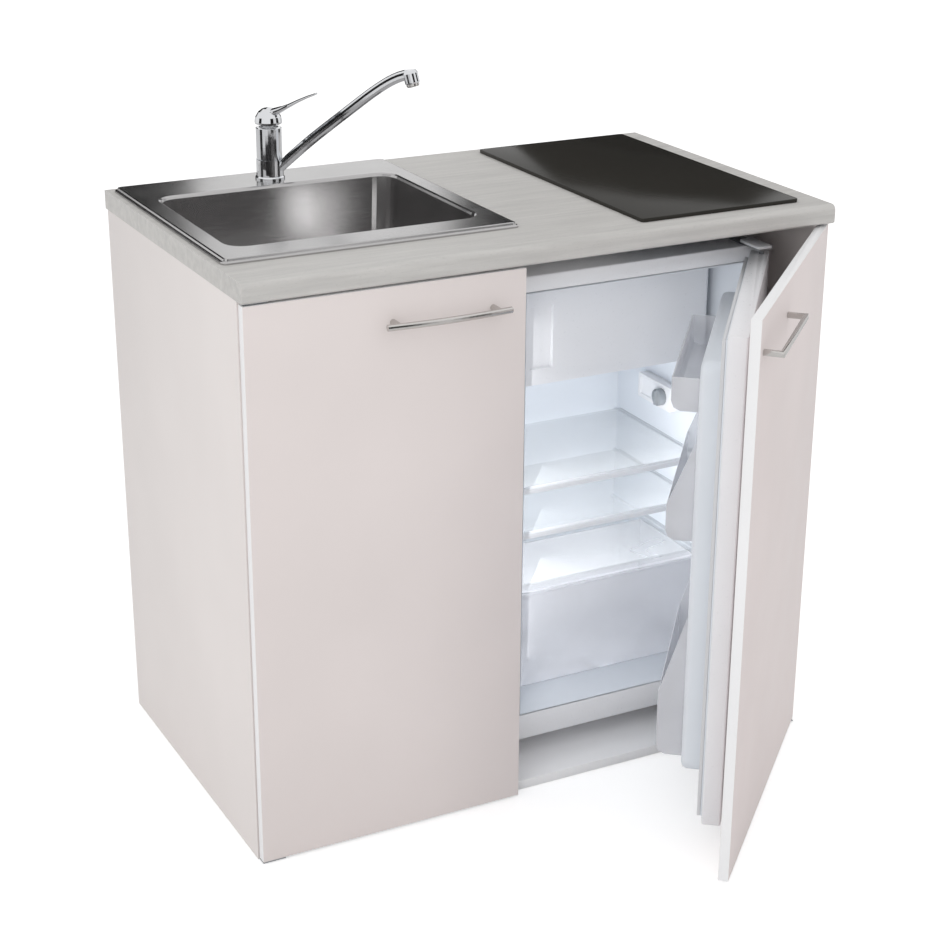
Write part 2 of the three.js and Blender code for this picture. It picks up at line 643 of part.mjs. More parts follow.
function addTapSpout() {
  const R = TAP_BODY_R;
  const bore = R - 4 + RUN_CLEAR;
  const top = COLLAR_UP + COLLAR_H;
  const foot = COLLAR_UP;
  const collar = turnedTap([[bore, foot], [R + 1, foot], [R + 1, top], [bore, top], [bore, foot]]);
  const shares = [[0.3, 0.42], [0.55, 0.72], [0.76, 0.965], [0.87, 1.07], [0.95, 1.12], [1, 1.13]];
  const rise = shares.map(([out, up]) => tapPoint(TAP_REACH * out, 0, TAP_RISE * up));
  const tube = sweep(circlePoints(SPOUT_TUBE_R, 14), [tapPoint(R - 2, 0, 20), ...rise], 26);
  const core = rod('z', [TAP.x, TAP.y, TAP.z], bore, top + 10, 40);
  const mouth = TAP_RISE * 1.045;
  const head = nozzle([[0, 0], [11.5, 0], [12, 2], [12, 16], [9, 21], [0, 22]], mouth);
  const spout = solid(collar).add(solid(tube).subtract(solid(core))).add(solid(head));
  add('tap_spout', shell(spout), 'chrome');
  const aerator = nozzle([[0, -5], [9, -5], [10.5, -3.5], [10.5, 0], [0, 0]], mouth - 0.02);
  add('tap_aerator', aerator, 'satin');
}

// the lever is a cap over the cartridge's ball that runs out into a thin blade
function addTapLever() {
  const R = TAP_BODY_R;
  const h = TAP_BODY_H;
  const ball = h + LEVER_BALL_UP;
  const plug = R - 5 - RUN_CLEAR;
  add('tap_cartridge', turnedTap([[0, h - CARTRIDGE_DEPTH], [plug, h - CARTRIDGE_DEPTH], [plug, h - 2],
    [9, h - 2], [9, h + 2], [3.2, h + 2], ...arc(LEVER_BALL_R, ball, -50, 84, 8), [0, ball + LEVER_BALL_R]],
  24), 'whitePlastic');
  const rim = h + 6;
  const cap = turnedTap([[0, rim + 5], [12, rim + 4.5], [R - 4, rim + 3], [R - 2, rim], [R + 1, rim],
    [R + 1.5, rim + 3], [R, rim + 11], [R - 5, rim + 19], [R - 12, rim + 24], [0, rim + 26]]);
  const stations = [[0, 21, 14, 7], [13, 25, 12.5, 7], [24, 30, 11, 5.4], [37, 36.5, 9.8, 3.8],
    [53, 45, 9, 2.9], [70, 53, 8, 2.3], [84, 58.5, 6.4, 1.8]];
  const blade = loftSolid(stations.map(([out, up, halfW, halfT]) => circlePoints(1, 16)
    .map(([across, over]) => tapPoint(out, halfW * over, h + up + halfT * across))));
  const seat = LEVER_BALL_R + TURN_GAP;
  const socket = turnedTap([[0, rim], [11, rim], ...arc(seat, ball, -35, 84, 8), [0, ball + seat]], 24);
  add('tap_lever', carve(fuse(cap, blade), socket), 'chrome');
}

// ---- hob
function addHob() {
  const glass = roundedOutline(HOB_X0, HOB_X1, HOB_FRONT, HOB_BACK, HOB_CORNER_R, 4);
  add('hob_glass', alongZ(glass, UNIT_H, UNIT_H + HOB_GLASS_T), 'glassBlack');
  const gap = HOB_LIP + HOB_TRAY_GAP;
  const t = gap + HOB_TRAY_T;
  const trayZ = UNIT_H - HOB_TRAY_DEPTH;
  const floorZ = trayZ + HOB_TRAY_T;
  const outer = box(HOB_X0 + gap, HOB_X1 - gap, HOB_FRONT + gap, HOB_BACK - gap, trayZ, UNIT_H);
  const hollow = box(HOB_X0 + t, HOB_X1 - t, HOB_FRONT + t, HOB_BACK - t, floorZ, UNIT_H + 1);
  add('hob_tray', carve(outer, hollow), 'zinc');
  const cx = (HOB_X0 + HOB_X1) / 2;
  const rimZ = UNIT_H - 1;
  const wellZ = rimZ - ZONE_DEPTH;
  const zones = [['hob_front_heater', ZONE_FRONT_R, 0.3], ['hob_rear_heater', ZONE_REAR_R, 0.72]];
  for (const [name, r, share] of zones) {
    const well = r - ZONE_WALL;
    const pan = [[0, floorZ], [r, floorZ], [r, rimZ], [well, rimZ], [well, wellZ], [0, wellZ]];
    add(name, turned(pan, cx, HOB_FRONT + (HOB_BACK - HOB_FRONT) * share), 'heater');
  }
  const boardX = CONTROL_BOARD_W / 2;
  const boardY = HOB_FRONT + gap + 6;
  const board = box(cx - boardX, cx + boardX, boardY, boardY + CONTROL_BOARD_D, floorZ, UNIT_H);
  add('hob_control_board', board, 'greyPlastic');
}

// ---- sink cabinet door
function pinBores(px, py) {
  const r = PIVOT_PIN_R + RUN_CLEAR;
  const deep = PIVOT_PIN_L + 1;
  return [DOOR_TOP - deep, DOOR_FLOOR_GAP - 5].map((z) => rod('z', [px, py, z], r, deep + 5, 16));
}

function addSinkDoor() {
  const slab = box(LEFT_DOOR_X0, LEFT_DOOR_X1, DOOR_SETBACK, DOOR_INNER, DOOR_FLOOR_GAP, DOOR_TOP);
  add('sink_door', carve(slab, ...pinBores(...LEFT_PIVOT)), 'front');
  const z = DOOR_TOP - BAR_HANDLE_DOWN;
  const x = LEFT_DOOR_X1 - BAR_HANDLE_INSET;
  const out = DOOR_SETBACK - BAR_HANDLE_OUT;
  const bow = [[0, 0], [0.25, 0.73], [0.5, 1], [0.75, 0.73], [1, 0]];
  const route = bow.map(([along, by]) => [x - BAR_HANDLE_L * along, out - BAR_HANDLE_BOW * by, z]);
  const bar = sweep(circlePoints(BAR_HANDLE_R, 12), route, 16);
  const posts = [x - BAR_POST_INSET, x - BAR_HANDLE_L + BAR_POST_INSET]
    .map((at) => rod('y', [at, out - 2, z], BAR_HANDLE_R, BAR_HANDLE_OUT + 2, 16));
  add('sink_door_handle', fuse(bar, ...posts), 'satin');
}

// ---- corner pivots: flat plates above and below each door that carry the pins
function upperPin([x, y]) {
  const z = DOOR_TOP - PIVOT_PIN_L;
  return rod('z', [x, y, z], PIVOT_PIN_R, TOP_Z - PIVOT_PLATE_T / 2 - z, 16);
}

function lowerPin([x, y]) {
  const z = PIVOT_PLATE_T / 2;
  return rod('z', [x, y, z], PIVOT_PIN_R, DOOR_FLOOR_GAP + PIVOT_PIN_L - z, 16);
}

function addSinkPivots() {
  const t = PIVOT_PLATE_T;
  const [x, y] = LEFT_PIVOT;
  const x1 = BOARD_T + PIVOT_PLATE_REACH;
  const plateTop = box(x - 5, x1, y - 5, CARCASS_FRONT, TOP_Z - t, TOP_Z);
  add('sink_door_upper_pivot', fuse(plateTop, upperPin(LEFT_PIVOT)), 'zinc');
  const plateLow = box(x - 5, x1, y - 5, CARCASS_FRONT, 0, t);
  const flange = box(BOARD_T + 2, x1, CARCASS_FRONT - 2, CARCASS_FRONT, 0, BOARD_T - 1);
  add('sink_door_lower_pivot', fuse(plateLow, flange, lowerPin(LEFT_PIVOT)), 'zinc');
}

function addDecorPivots() {
  const t = PIVOT_PLATE_T;
  const [x, y] = DECOR_PIVOT;
  const back = RIGHT_PANEL_FRONT;
  const plateTop = box(x - 14, BAY_X1, y - 6, back + 40, TOP_Z - t, TOP_Z);
  const nose = box(x - 14, x + 7, y - 6, back, TOP_Z - t, TOP_Z);
  add('decor_door_upper_pivot', fuse(plateTop, nose, upperPin(DECOR_PIVOT)), 'zinc');
  const plateLow = box(x - 7, UNIT_W - 2, y - 6, back, 0, t);
  const lip = box(BAY_X1 + 0.5, UNIT_W - 2, back - 1.5, back, 0, 30);
  add('decor_door_lower_pivot', fuse(plateLow, lip, lowerPin(DECOR_PIVOT)), 'zinc');
}

// ---- decor door of the refrigerator bay, built closed and then turned open
function addDecor(name, geometry, finish) {
  add(name, turnAbout(geometry, DECOR_PIVOT, DECOR_OPEN_DEG), finish);
}

function addDecorDoor() {
  const slab = box(DECOR_X0, DECOR_X1, DOOR_SETBACK, DOOR_INNER, DOOR_FLOOR_GAP, DOOR_TOP);
  addDecor('decor_door', carve(slab, ...pinBores(...DECOR_PIVOT)), 'front');
  const t = SQUARE_HANDLE_T;
  const z1 = DOOR_TOP - SQUARE_HANDLE_DOWN + SQUARE_HANDLE_H / 2;
  const z0 = z1 - SQUARE_HANDLE_H;
  const x0 = DECOR_X0 + SQUARE_HANDLE_INSET;
  const x1 = x0 + SQUARE_HANDLE_L;
  const out = DOOR_SETBACK - SQUARE_HANDLE_OUT;
  const foot = DOOR_SETBACK - TURN_GAP;
  const bar = box(x0, x1, out, out + t, z0, z1);
  const legs = [x0, x1 - t].map((x) => box(x, x + t, out, foot, z0, z1));
  addDecor('decor_door_handle', fuse(bar, ...legs), 'satin');
}

function addDragChannel() {
  const x0 = GUIDE_PIN[0] - 14;
  const x1 = GUIDE_PIN[0] + GUIDE_RUN;
  const y0 = DOOR_INNER + TURN_GAP;
  const y1 = GUIDE_PIN[1] + GUIDE_PIN_R + 9;
  const outer = box(x0, x1, y0, y1, BOARD_T + 5, SHELL_Z0 - 10);
  const trough = box(x0 + 2, x1 - 2, y0 + 1.6, y1 - 1.6, BOARD_T + 7, SHELL_Z0);
  addDecor('drag_channel', carve(outer, trough), 'whitePlastic');
}

// ---- refrigerator cabinet
function sideProfile(y0, y1, z0, z1, stepY, stepZ) {
  return [[y0, z0], [stepY, z0], [stepY, stepZ], [y1, stepZ], [y1, z1], [y0, z1]];
}

function addFridgeCabinet() {
  const x0 = FR_X0 + 20;
  const x1 = FR_X1 - 20;
  const block = box(FR_X0, FR_X1, FR_Y0, FR_Y1, FR_Z0, FR_Z1);
  const cavity = alongX(sideProfile(FR_Y0 - 1, CAV_Y1, CAV_Z0, CAV_Z1, STEP_Y, STEP_Z), CAV_X0, CAV_X1);
  const plant = box(x0, x1, FR_Y1 - PLANT_DEPTH, FR_Y1 + 1, FR_Z0 + 12, FR_Z0 + PLANT_H);
  const runner = box(x0, x1, FR_Y1 - 40, FR_Y1 - 16, BOARD_T, FR_Z0 + 1);
  add('fridge_cabinet', fuse(carve(block, cavity, plant), runner), 'enamel');
}

function addFridgeLiner() {
  const t = LINER_T;
  const skin = alongX(sideProfile(FR_Y0, CAV_Y1, CAV_Z0, CAV_Z1, STEP_Y, STEP_Z), CAV_X0, CAV_X1);
  const room = alongX(sideProfile(FR_Y0 - 1, IN_Y1, IN_Z0, IN_Z1, STEP_Y - t, STEP_Z + t), IN_X0, IN_X1);
  let liner = solid(skin).subtract(solid(room));
  for (const z of [UPPER_SHELF_Z, LOWER_SHELF_Z, CRISPER_LID_Z]) {
    for (const [x0, x1] of [[IN_X0 - 1, IN_X0 + RIB_OUT], [IN_X1 - RIB_OUT, IN_X1 + 1]]) {
      liner = liner.add(solid(box(x0, x1, SHELF_FRONT - 8, IN_Y1, z - RIB_H, z)));
    }
  }
  add('fridge_liner', shell(liner), 'liner');
}

function addFridgeFeet() {
  const r = FRIDGE_FOOT_R;
  const z = BOARD_T;
  const profile = [[0, z], [r, z], [r, z + 5], [r - 6, z + 9], [r - 6, FR_Z0], [0, FR_Z0]];
  const places = [['front_left_foot', FR_X0 + FRIDGE_FOOT_IN], ['front_right_foot', FR_X1 - FRIDGE_FOOT_IN]];
  for (const [name, x] of places) {
    add(name, turned(profile, x, FR_Y0 + FRIDGE_FOOT_BACK, 20), 'blackPlastic');
  }
}

function addCompressor() {
  const z = FR_Z0 + 12;
  const r = PLANT_DEPTH * 0.44;
  const top = PLANT_H - 22;
  const can = [[0, z], [r - 6, z], [r - 3, z + 8], [r - 3, z + top * 0.45], [r, z + top * 0.47],
    [r, z + top * 0.53], [r - 3, z + top * 0.55], [r - 4, z + top * 0.75], [r * 0.75, z + top * 0.92],
    [r * 0.4, z + top], [0, z + top]];
  add('compressor', turned(can, (FR_X0 + FR_X1) / 2, FR_Y1 - PLANT_DEPTH / 2, 32), 'blackSteel');
}

// serpentine tube behind the cabinet, carried by two upright clips
function addCondenser() {
  const x0 = FR_X0 + 46;
  const x1 = FR_X1 - 46;
  const zLow = FR_Z0 + PLANT_H + 60;
  const pitch = (FR_Z1 - 60 - zLow) / (COIL_ROWS - 1);
  const y = FR_Y1 + COIL_OUT;
  const route = [];
  for (let k = 0; k < COIL_ROWS; k += 1) {
    const at = zLow + k * pitch;
    const [from, to] = k % 2 ? [x1, x0] : [x0, x1];
    const bulge = k % 2 ? -pitch / 3 : pitch / 3;
    route.push([from, y, at], [(from + to) / 2, y, at], [to, y, at]);
    if (k < COIL_ROWS - 1) route.push([to + bulge, y, at + pitch / 2]);
  }
  const coil = sweep(circlePoints(COIL_TUBE_R, 6), route, 128);
  const clips = [0.3, 0.7].map((share) => {
    const x = x0 + (x1 - x0) * share;
    return box(x - 6, x + 6, FR_Y1, y + 1, zLow - 12, zLow + pitch * (COIL_ROWS - 1) + 12);
  });
  add('condenser', fuse(coil, ...clips), 'blackSteel');
}

// ---- refrigerator inside
function addShelf(name, z) {
  const x0 = IN_X0 + 1;
  const x1 = IN_X1 - 1;
  const trimBack = SHELF_FRONT + TRIM_D;
  const glassFront = trimBack - TRIM_SEAT;
  const glassTop = z + SHELF_T;
  add(name, box(x0, x1, glassFront, IN_Y1 - SHELF_BACK_GAP, z, glassTop), 'clear');
  const bar = box(x0, x1, SHELF_FRONT, trimBack, z, z + TRIM_H);
  const slot = box(x0 - 1, x1 + 1, glassFront - TURN_GAP, trimBack + 1, z - 1, glassTop + TURN_GAP);
  add(`${name}_trim`, carve(bar, slot), 'whitePlastic');
}

function addCrisper() {
  const lid = CRISPER_LID_Z;
  const back = STEP_Y - LINER_T;
  const sheet = box(IN_X0 + 1, IN_X1 - 1, SHELF_FRONT + 1, back - 2, lid, lid + SHELF_T);
  const edge = box(IN_X0 + 1, IN_X1 - 1, SHELF_FRONT, SHELF_FRONT + 6, lid, lid + TRIM_H);
  add('crisper_lid', fuse(sheet, edge), 'clear');
  const w = CRISPER_WALL;
  const x0 = IN_X0 + RIB_OUT + 3;
  const x1 = IN_X1 - RIB_OUT - 3;
  const y0 = SHELF_FRONT + 4;
  const y1 = back - 6;
  const top = lid - RIB_H - 2;
  const pan = box(x0, x1, y0, y1, IN_Z0, top);
  const hollow = box(x0 + w, x1 - w, y0 + w, y1 - w, IN_Z0 + w, top + 1);
  const rim = box(x0, x1, y0 - 3, y0 + 1, top - 5, top);
  add('crisper_drawer', fuse(carve(pan, hollow), rim), 'clear');
}

function addIceBox() {
  const w = ICE_WALL;
  const outer = box(ICE_X0, ICE_X1, ICE_Y0, ICE_Y1, ICE_Z0, IN_Z1);
  const room = box(ICE_X0 + w, ICE_X1 - w, ICE_Y0 - 1, ICE_Y1 - w, ICE_Z0 + w, IN_Z1 - w);
  const lugs = [ICE_Z0 - 3, UPPER_LUG_Z]
    .map((z) => box(ICE_X1 - 20, ICE_X1, SHELF_FRONT + 1, ICE_Y0 + 2, z, z + 4));
  const bores = rod('z', [...FLAP_AXIS, ICE_Z0 - 6], FLAP_PIN_R + RUN_CLEAR, ICE_BOX_H + 12, 16);
  add('ice_box', carve(fuse(carve(outer, room), ...lugs), bores), 'enamel');
}

function addIceFlap() {
  const z0 = ICE_Z0 + 2;
  const z1 = UPPER_LUG_Z - 1;
  const front = SHELF_FRONT;
  const back = SHELF_FRONT + FLAP_T - 1;
  const outline = [[ICE_X0 + 1, front], [FLAP_AXIS[0], front], [ICE_X1 - 4, front + 3],
    [ICE_X1 - 2.5, FLAP_AXIS[1]], [ICE_X1 - 4, back - 3], [FLAP_AXIS[0], back], [ICE_X0 + 1, back]];
  const grip = box(ICE_X0 + 48, ICE_X0 + 90, front - 1, front + FLAP_T / 2, z0 + 26, z1 - 30);
  const pins = [z0 - 4, z1 - 1].map((z) => rod('z', [...FLAP_AXIS, z], FLAP_PIN_R, 5, 16));
  add('ice_box_flap', fuse(carve(alongZ(outline, z0, z1), grip), ...pins), 'enamel');
}

function addThermostat() {
  const x = IN_X1 - THERMOSTAT_D;
  const y = SHELF_FRONT + THERMOSTAT_BACK;
  const y1 = y + THERMOSTAT_L;
  const z = UPPER_SHELF_Z + THERMOSTAT_UP;
  const z1 = z + THERMOSTAT_H;
  const lens = box(x - 1, x + 3, y + THERMOSTAT_L / 2, y1 - 8, z + 7, z1 - 7);
  add('thermostat_housing', carve(box(x, IN_X1, y, y1, z, z1), lens), 'whitePlastic');
  const knobY = y + THERMOSTAT_L / 4;
  const knobZ = (z + z1) / 2;
  const face = x - KNOB_T;
  const half = KNOB_R - 2;
  const disc = rod('x', [face, knobY, knobZ], KNOB_R, KNOB_T, 28);
  const pointer = box(face - 4, face + 1, knobY - 2, knobY + 2, knobZ - half, knobZ + half);
  add('thermostat_knob', fuse(disc, pointer), 'greyPlastic');
}

function addFridgeHinges() {
  const [x, y] = FRIDGE_PIVOT;
  const t = HINGE_PLATE_T;
  const w = HINGE_PLATE_HALF_W;
  const back = FR_Y0 + 46;
  const topPinZ = SHELL_Z1 - HINGE_PIN_L;
  const plateTop = box(x - w, x + w, y - 11, back, FR_Z1, FR_Z1 + t);
  const pinTop = rod('z', [x, y, topPinZ], HINGE_PIN_R, FR_Z1 + 1 - topPinZ, 20);
  add('fridge_upper_hinge', fuse(plateTop, pinTop), 'zinc');
  const cap = roundedOutline(x - w - 0.5, x + w + 0.5, y - 12, FR_Y0 + 18, 5, 3);
  add('fridge_hinge_cap', alongZ(cap, FR_Z1 + t, FR_Z1 + t + HINGE_CAP_H), 'whitePlastic');
  const plateLow = box(x - w, x + w, y - 11, back, FR_Z0 - t, FR_Z0);
  const pinLow = rod('z', [x, y, FR_Z0 - 1], HINGE_PIN_R, SHELL_Z0 - FR_Z0 + 1 + HINGE_PIN_L, 20);
  add('fridge_lower_hinge', fuse(plateLow, pinLow), 'zinc');
}

// ---- refrigerator door, built closed and then turned open
function addFridgeDoorPiece(name, geometry, finish) {
  add(name, turnAbout(geometry, FRIDGE_PIVOT, FRIDGE_OPEN_DEG), finish);
}

function addFridgeDoorShell() {
  const slab = alongZ(roundedOutline(SHELL_X0, SHELL_X1, SHELL_Y0, SHELL_Y1, 4, 3), SHELL_Z0, SHELL_Z1);
  const bores = [SHELL_Z1 - HINGE_PIN_L - 1, SHELL_Z0 - 9]
    .map((z) => rod('z', [...FRIDGE_PIVOT, z], HINGE_PIN_R + RUN_CLEAR, HINGE_PIN_L + 10, 20));
  addFridgeDoorPiece('fridge_door', carve(slab, ...bores), 'enamel');
}

// name, foot, rim at the back, and how much lower the rim is at the front
function doorBins() {
  const topRim = PAN_Z1 - TOP_BIN_DOWN;
  const middleRim = PAN_Z1 - MIDDLE_BIN_DOWN;
  const bottleFoot = PAN_Z0 + PAN_CORNER_R;
  return [
    ['top_bin', topRim - TOP_BIN_H, topRim, 0],
    ['middle_bin', middleRim - MIDDLE_BIN_H, middleRim, MIDDLE_BIN_LIP_DROP],
    ['bottle_bin', bottleFoot, bottleFoot + BOTTLE_BIN_H, BOTTLE_BIN_LIP_DROP],
  ];
}

// raised frame around the bins, with a rounded crest
function dikeFrame() {
  const base = PLATE_Y1 - 0.5;
  const crest = PLATE_Y1 + PAN_DEPTH;
  const [x0, x1, z0, z1] = PAN_ROOM;
  const outer = (inset, y) => {
    const r = PAN_CORNER_R - inset;
    const outline = roundedOutline(PAN_X0 + inset, PAN_X1 - inset, PAN_Z0 + inset, PAN_Z1 - inset, r, 5);
    return outline.map(([x, z]) => [x, y, z]);
  };
  const inner = (grow, y) => {
    const outline = roundedOutline(x0 - grow, x1 + grow, z0 - grow, z1 + grow, PAN_ROOM_R + grow, 5);
    return outline.map(([x, z]) => [x, y, z]);
  };
  const rounded = [1, 2, 3, 4].map((i) => {
    const a = (Math.PI * i) / 8;
    return outer(PAN_CREST_R * (1 - Math.cos(a)), crest - PAN_CREST_R * (1 - Math.sin(a)));
  });
  return loftLoop([outer(0, base), outer(0, crest - PAN_CREST_R), ...rounded, inner(3, crest),
    inner(0, crest - 3), inner(0, base)]);
}

function addDoorLiner() {
  const g = TURN_GAP;
  const [x0, x1] = PAN_ROOM;
  const padEnd = PLATE_Y1 + PAN_DEPTH - 4;
  const plate = box(PLATE_X0, PLATE_X1, PLATE_Y0, PLATE_Y1, PLATE_Z0, PLATE_Z1);
  let pan = solid(plate).add(solid(dikeFrame()));
  for (const [, z] of doorBins()) {
    for (const [from, to] of [[x0 - 1, x0 + 5], [x1 - 5, x1 + 1]]) {
      pan = pan.add(solid(box(from, to, PLATE_Y1 - 0.5, padEnd, z - 4 - g, z - g)));
    }
  }
  addFridgeDoorPiece('fridge_door_liner', shell(pan), 'liner');
}

function addDoorGasket() {
  const y0 = PLATE_Y1 + TURN_GAP;
  const y1 = PLATE_Y1 + GASKET_T - TURN_GAP;
  const w = GASKET_W;
  const outer = box(PLATE_X0, PLATE_X1, y0, y1, PLATE_Z0, PLATE_Z1);
  const inner = box(PLATE_X0 + w, PLATE_X1 - w, y0 - 1, y1 + 1, PLATE_Z0 + w, PLATE_Z1 - w);
  addFridgeDoorPiece('fridge_door_gasket', carve(outer, inner), 'seal');
}

function addDoorBins() {
  const w = BIN_WALL;
  const back = PLATE_Y1 + TURN_GAP;
  const front = PLATE_Y1 + BIN_REACH;
  const x0 = PAN_ROOM[0] + TURN_GAP;
  const x1 = PAN_ROOM[1] - TURN_GAP;
  for (const [name, z0, z1, lipDrop] of doorBins()) {
    const side = [[back, z0], [front - 14, z0], [front - 4, z0 + 5], [front, z0 + 16], [front, z1 - lipDrop],
      [PLATE_Y1 + PAN_DEPTH + 2, z1], [back, z1]];
    const inside = [[back + w, z0 + w], [front - 15, z0 + w], [front - 3.2 - w, z0 + 4.8 + w],
      [front - w, z0 + 17], [front - w, z1 + 5], [back + w, z1 + 5]];
    const bin = carve(alongX(side, x0, x1), alongX(inside, x0 + w, x1 - w));
    addFridgeDoorPiece(name, bin, 'clear');
  }
}

function addDragPin() {
  const z = SHELL_Z0 - TURN_GAP;
  const [x, y] = GUIDE_PIN;
  const foot = BOARD_T + 12;
  const arm = box(x - 12, x + 12, SHELL_Y0 - 3, SHELL_Y1 - 4, z - 3, z);
  const pin = rod('z', [x, y, foot], GUIDE_PIN_R, z - 2 - foot, 20);
  addFridgeDoorPiece('drag_pin_bracket', fuse(arm, pin), 'zinc');
}

addUprights();
addFloorsAndRails();
addWorktop();
addSink();
addStrainerAndPlug();
addTrapAndPipe();
addTapBody();
addTapSpout();
addTapLever();
addHob();
addSinkDoor();
addSinkPivots();
addDecorPivots();
addDecorDoor();
addDragChannel();
addFridgeCabinet();
addFridgeLiner();
addFridgeFeet();
addCompressor();
addCondenser();
addShelf('upper_shelf', UPPER_SHELF_Z);
addShelf('lower_shelf', LOWER_SHELF_Z);
addCrisper();
addIceBox();
addIceFlap();
addThermostat();
addFridgeHinges();
addFridgeDoorShell();
addDoorLiner();
addDoorGasket();
addDoorBins();
addDragPin();

export default unit;
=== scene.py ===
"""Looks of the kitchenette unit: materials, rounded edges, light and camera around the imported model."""
import json
import math

import bpy
from mathutils import Matrix, Vector

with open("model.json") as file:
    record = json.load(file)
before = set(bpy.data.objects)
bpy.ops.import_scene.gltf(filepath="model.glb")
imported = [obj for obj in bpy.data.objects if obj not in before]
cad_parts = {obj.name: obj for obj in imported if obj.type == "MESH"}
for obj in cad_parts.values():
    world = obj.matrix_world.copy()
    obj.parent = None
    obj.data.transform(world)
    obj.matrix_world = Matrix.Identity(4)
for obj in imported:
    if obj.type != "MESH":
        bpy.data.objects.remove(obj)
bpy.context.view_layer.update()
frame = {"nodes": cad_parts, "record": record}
NODES = frame["nodes"]
MM = 0.001

# ---- camera: position, view directions and lens of the photograph
CAMERA_POSITION = (-1.4373, -2.7828, 1.6983)
CAMERA_RIGHT = Vector((0.88755, -0.46067, 0.00541))
CAMERA_UP = Vector((0.16617, 0.33107, 0.92886))
FOCAL_PX = 2008.1
IMAGE_PX = 950.0
PRINCIPAL_X = 473.03
SENSOR_MM = 36.0


def make_camera():
    data = bpy.data.cameras.new("photo_camera")
    data.sensor_width = SENSOR_MM
    data.lens = FOCAL_PX / IMAGE_PX * SENSOR_MM
    data.shift_x = (IMAGE_PX / 2 - PRINCIPAL_X) / IMAGE_PX
    data.clip_start = 0.05
    data.clip_end = 80.0
    camera = bpy.data.objects.new("photo_camera", data)
    bpy.context.scene.collection.objects.link(camera)
    right = CAMERA_RIGHT.normalized()
    back = right.cross(CAMERA_UP).normalized()
    up = back.cross(right)
    turn = Matrix((right, up, back)).transposed().to_4x4()
    camera.matrix_world = Matrix.Translation(CAMERA_POSITION) @ turn
    bpy.context.scene.camera = camera


# ---- materials
# reach of the lighter corner colour along the corners of a piece: the cream edge band of the boards, and a
# painted highlight on the other finishes
EDGE_TINT_AND_HIGHLIGHT_M = 0.0015


def linear(r, g, b):
    return tuple(c / 12.92 if c <= 0.04045 else ((c + 0.055) / 1.055) ** 2.4 for c in (r, g, b)) + (1.0,)


class Graph:
    """A material being built: its nodes, links and main shader."""

    def __init__(self, name):
        self.material = bpy.data.materials.new(name)
        self.material.use_nodes = True
        self.tree = self.material.node_tree
        self.shader = next(n for n in self.tree.nodes if n.type == "BSDF_PRINCIPLED")
        self.coords = self.tree.nodes.new("ShaderNodeTexCoord").outputs["Object"]

    def node(self, kind, **settings):
        made = self.tree.nodes.new(kind)
        for key, value in settings.items():
            setattr(made, key, value)
        return made

    def link(self, source, target):
        self.tree.links.new(source, target)

    def put(self, socket, value):
        self.shader.inputs[socket].default_value = value

    def noise(self, scale, stretch=(1, 1, 1), detail=3.0, rough=0.55):
        mapping = self.node("ShaderNodeMapping")
        mapping.inputs["Scale"].default_value = stretch
        self.link(self.coords, mapping.inputs["Vector"])
        made = self.node("ShaderNodeTexNoise")
        made.inputs["Scale"].default_value = scale
        made.inputs["Detail"].default_value = detail
        made.inputs["Roughness"].default_value = rough
        self.link(mapping.outputs["Vector"], made.inputs["Vector"])
        return made.outputs["Fac"]

    def ramp(self, source, low, high, out_low, out_high):
        made = self.node("ShaderNodeMapRange")
        for key, value in (("From Min", low), ("From Max", high), ("To Min", out_low), ("To Max", out_high)):
            made.inputs[key].default_value = value
        self.link(source, made.inputs["Value"])
        return made.outputs["Result"]

    def mix(self, factor, first, second):
        made = self.node("ShaderNodeMix", data_type="RGBA")
        if isinstance(factor, float):
            made.inputs[0].default_value = factor
        else:
            self.link(factor, made.inputs[0])
        for socket, value in ((6, first), (7, second)):
            if isinstance(value, tuple):
                made.inputs[socket].default_value = value
            else:
                self.link(value, made.inputs[socket])
        return made.outputs[2]

    def bump(self, layers):
        """layers: (height source, strength, distance in metres), laid one over the other"""
        normal = None
        for source, strength, distance in layers:
            made = self.node("ShaderNodeBump")
            made.inputs["Strength"].default_value = strength
            made.inputs["Distance"].default_value = distance
            self.link(source, made.inputs["Height"])
            if normal is not None:
                self.link(normal, made.inputs["Normal"])
            normal = made.outputs["Normal"]
        self.link(normal, self.shader.inputs["Normal"])

    def edges(self):
        """1 along the corners of a piece, 0 on its flat and gently curved faces; it lays the boards' edge
        band colour and a painted highlight along the corners of the other finishes
        """
        rounded = self.node("ShaderNodeBevel", samples=4)
        rounded.inputs["Radius"].default_value = EDGE_TINT_AND_HIGHLIGHT_M
        geometry = self.node("ShaderNodeNewGeometry")
        agree = self.node("ShaderNodeVectorMath", operation="DOT_PRODUCT")
        self.link(rounded.outputs["Normal"], agree.inputs[0])
        self.link(geometry.outputs["Normal"], agree.inputs[1])
        return self.ramp(agree.outputs["Value"], 0.99, 0.85, 0.0, 1.0)


def shade(color, factor):
    return tuple(min(1.0, c * factor) for c in color[:3]) + (1.0,)


def board(name, color, rough, edge_color):
    g = Graph(name)
    cloud = g.noise(3.0, detail=2.0)
    fine = g.noise(900.0, detail=2.0)
    body = g.mix(g.ramp(cloud, 0.35, 0.65, 0.0, 1.0), shade(color, 0.975), shade(color, 1.015))
    g.link(g.mix(g.edges(), body, edge_color), g.shader.inputs["Base Color"])
    g.link(g.ramp(g.noise(14.0), 0.3, 0.7, rough - 0.05, rough + 0.05), g.shader.inputs["Roughness"])
    g.put("Specular IOR Level", 0.4)
    g.bump([(fine, 0.18, 0.0003), (g.noise(55.0, detail=1.0), 0.05, 0.0006)])
    return g.material


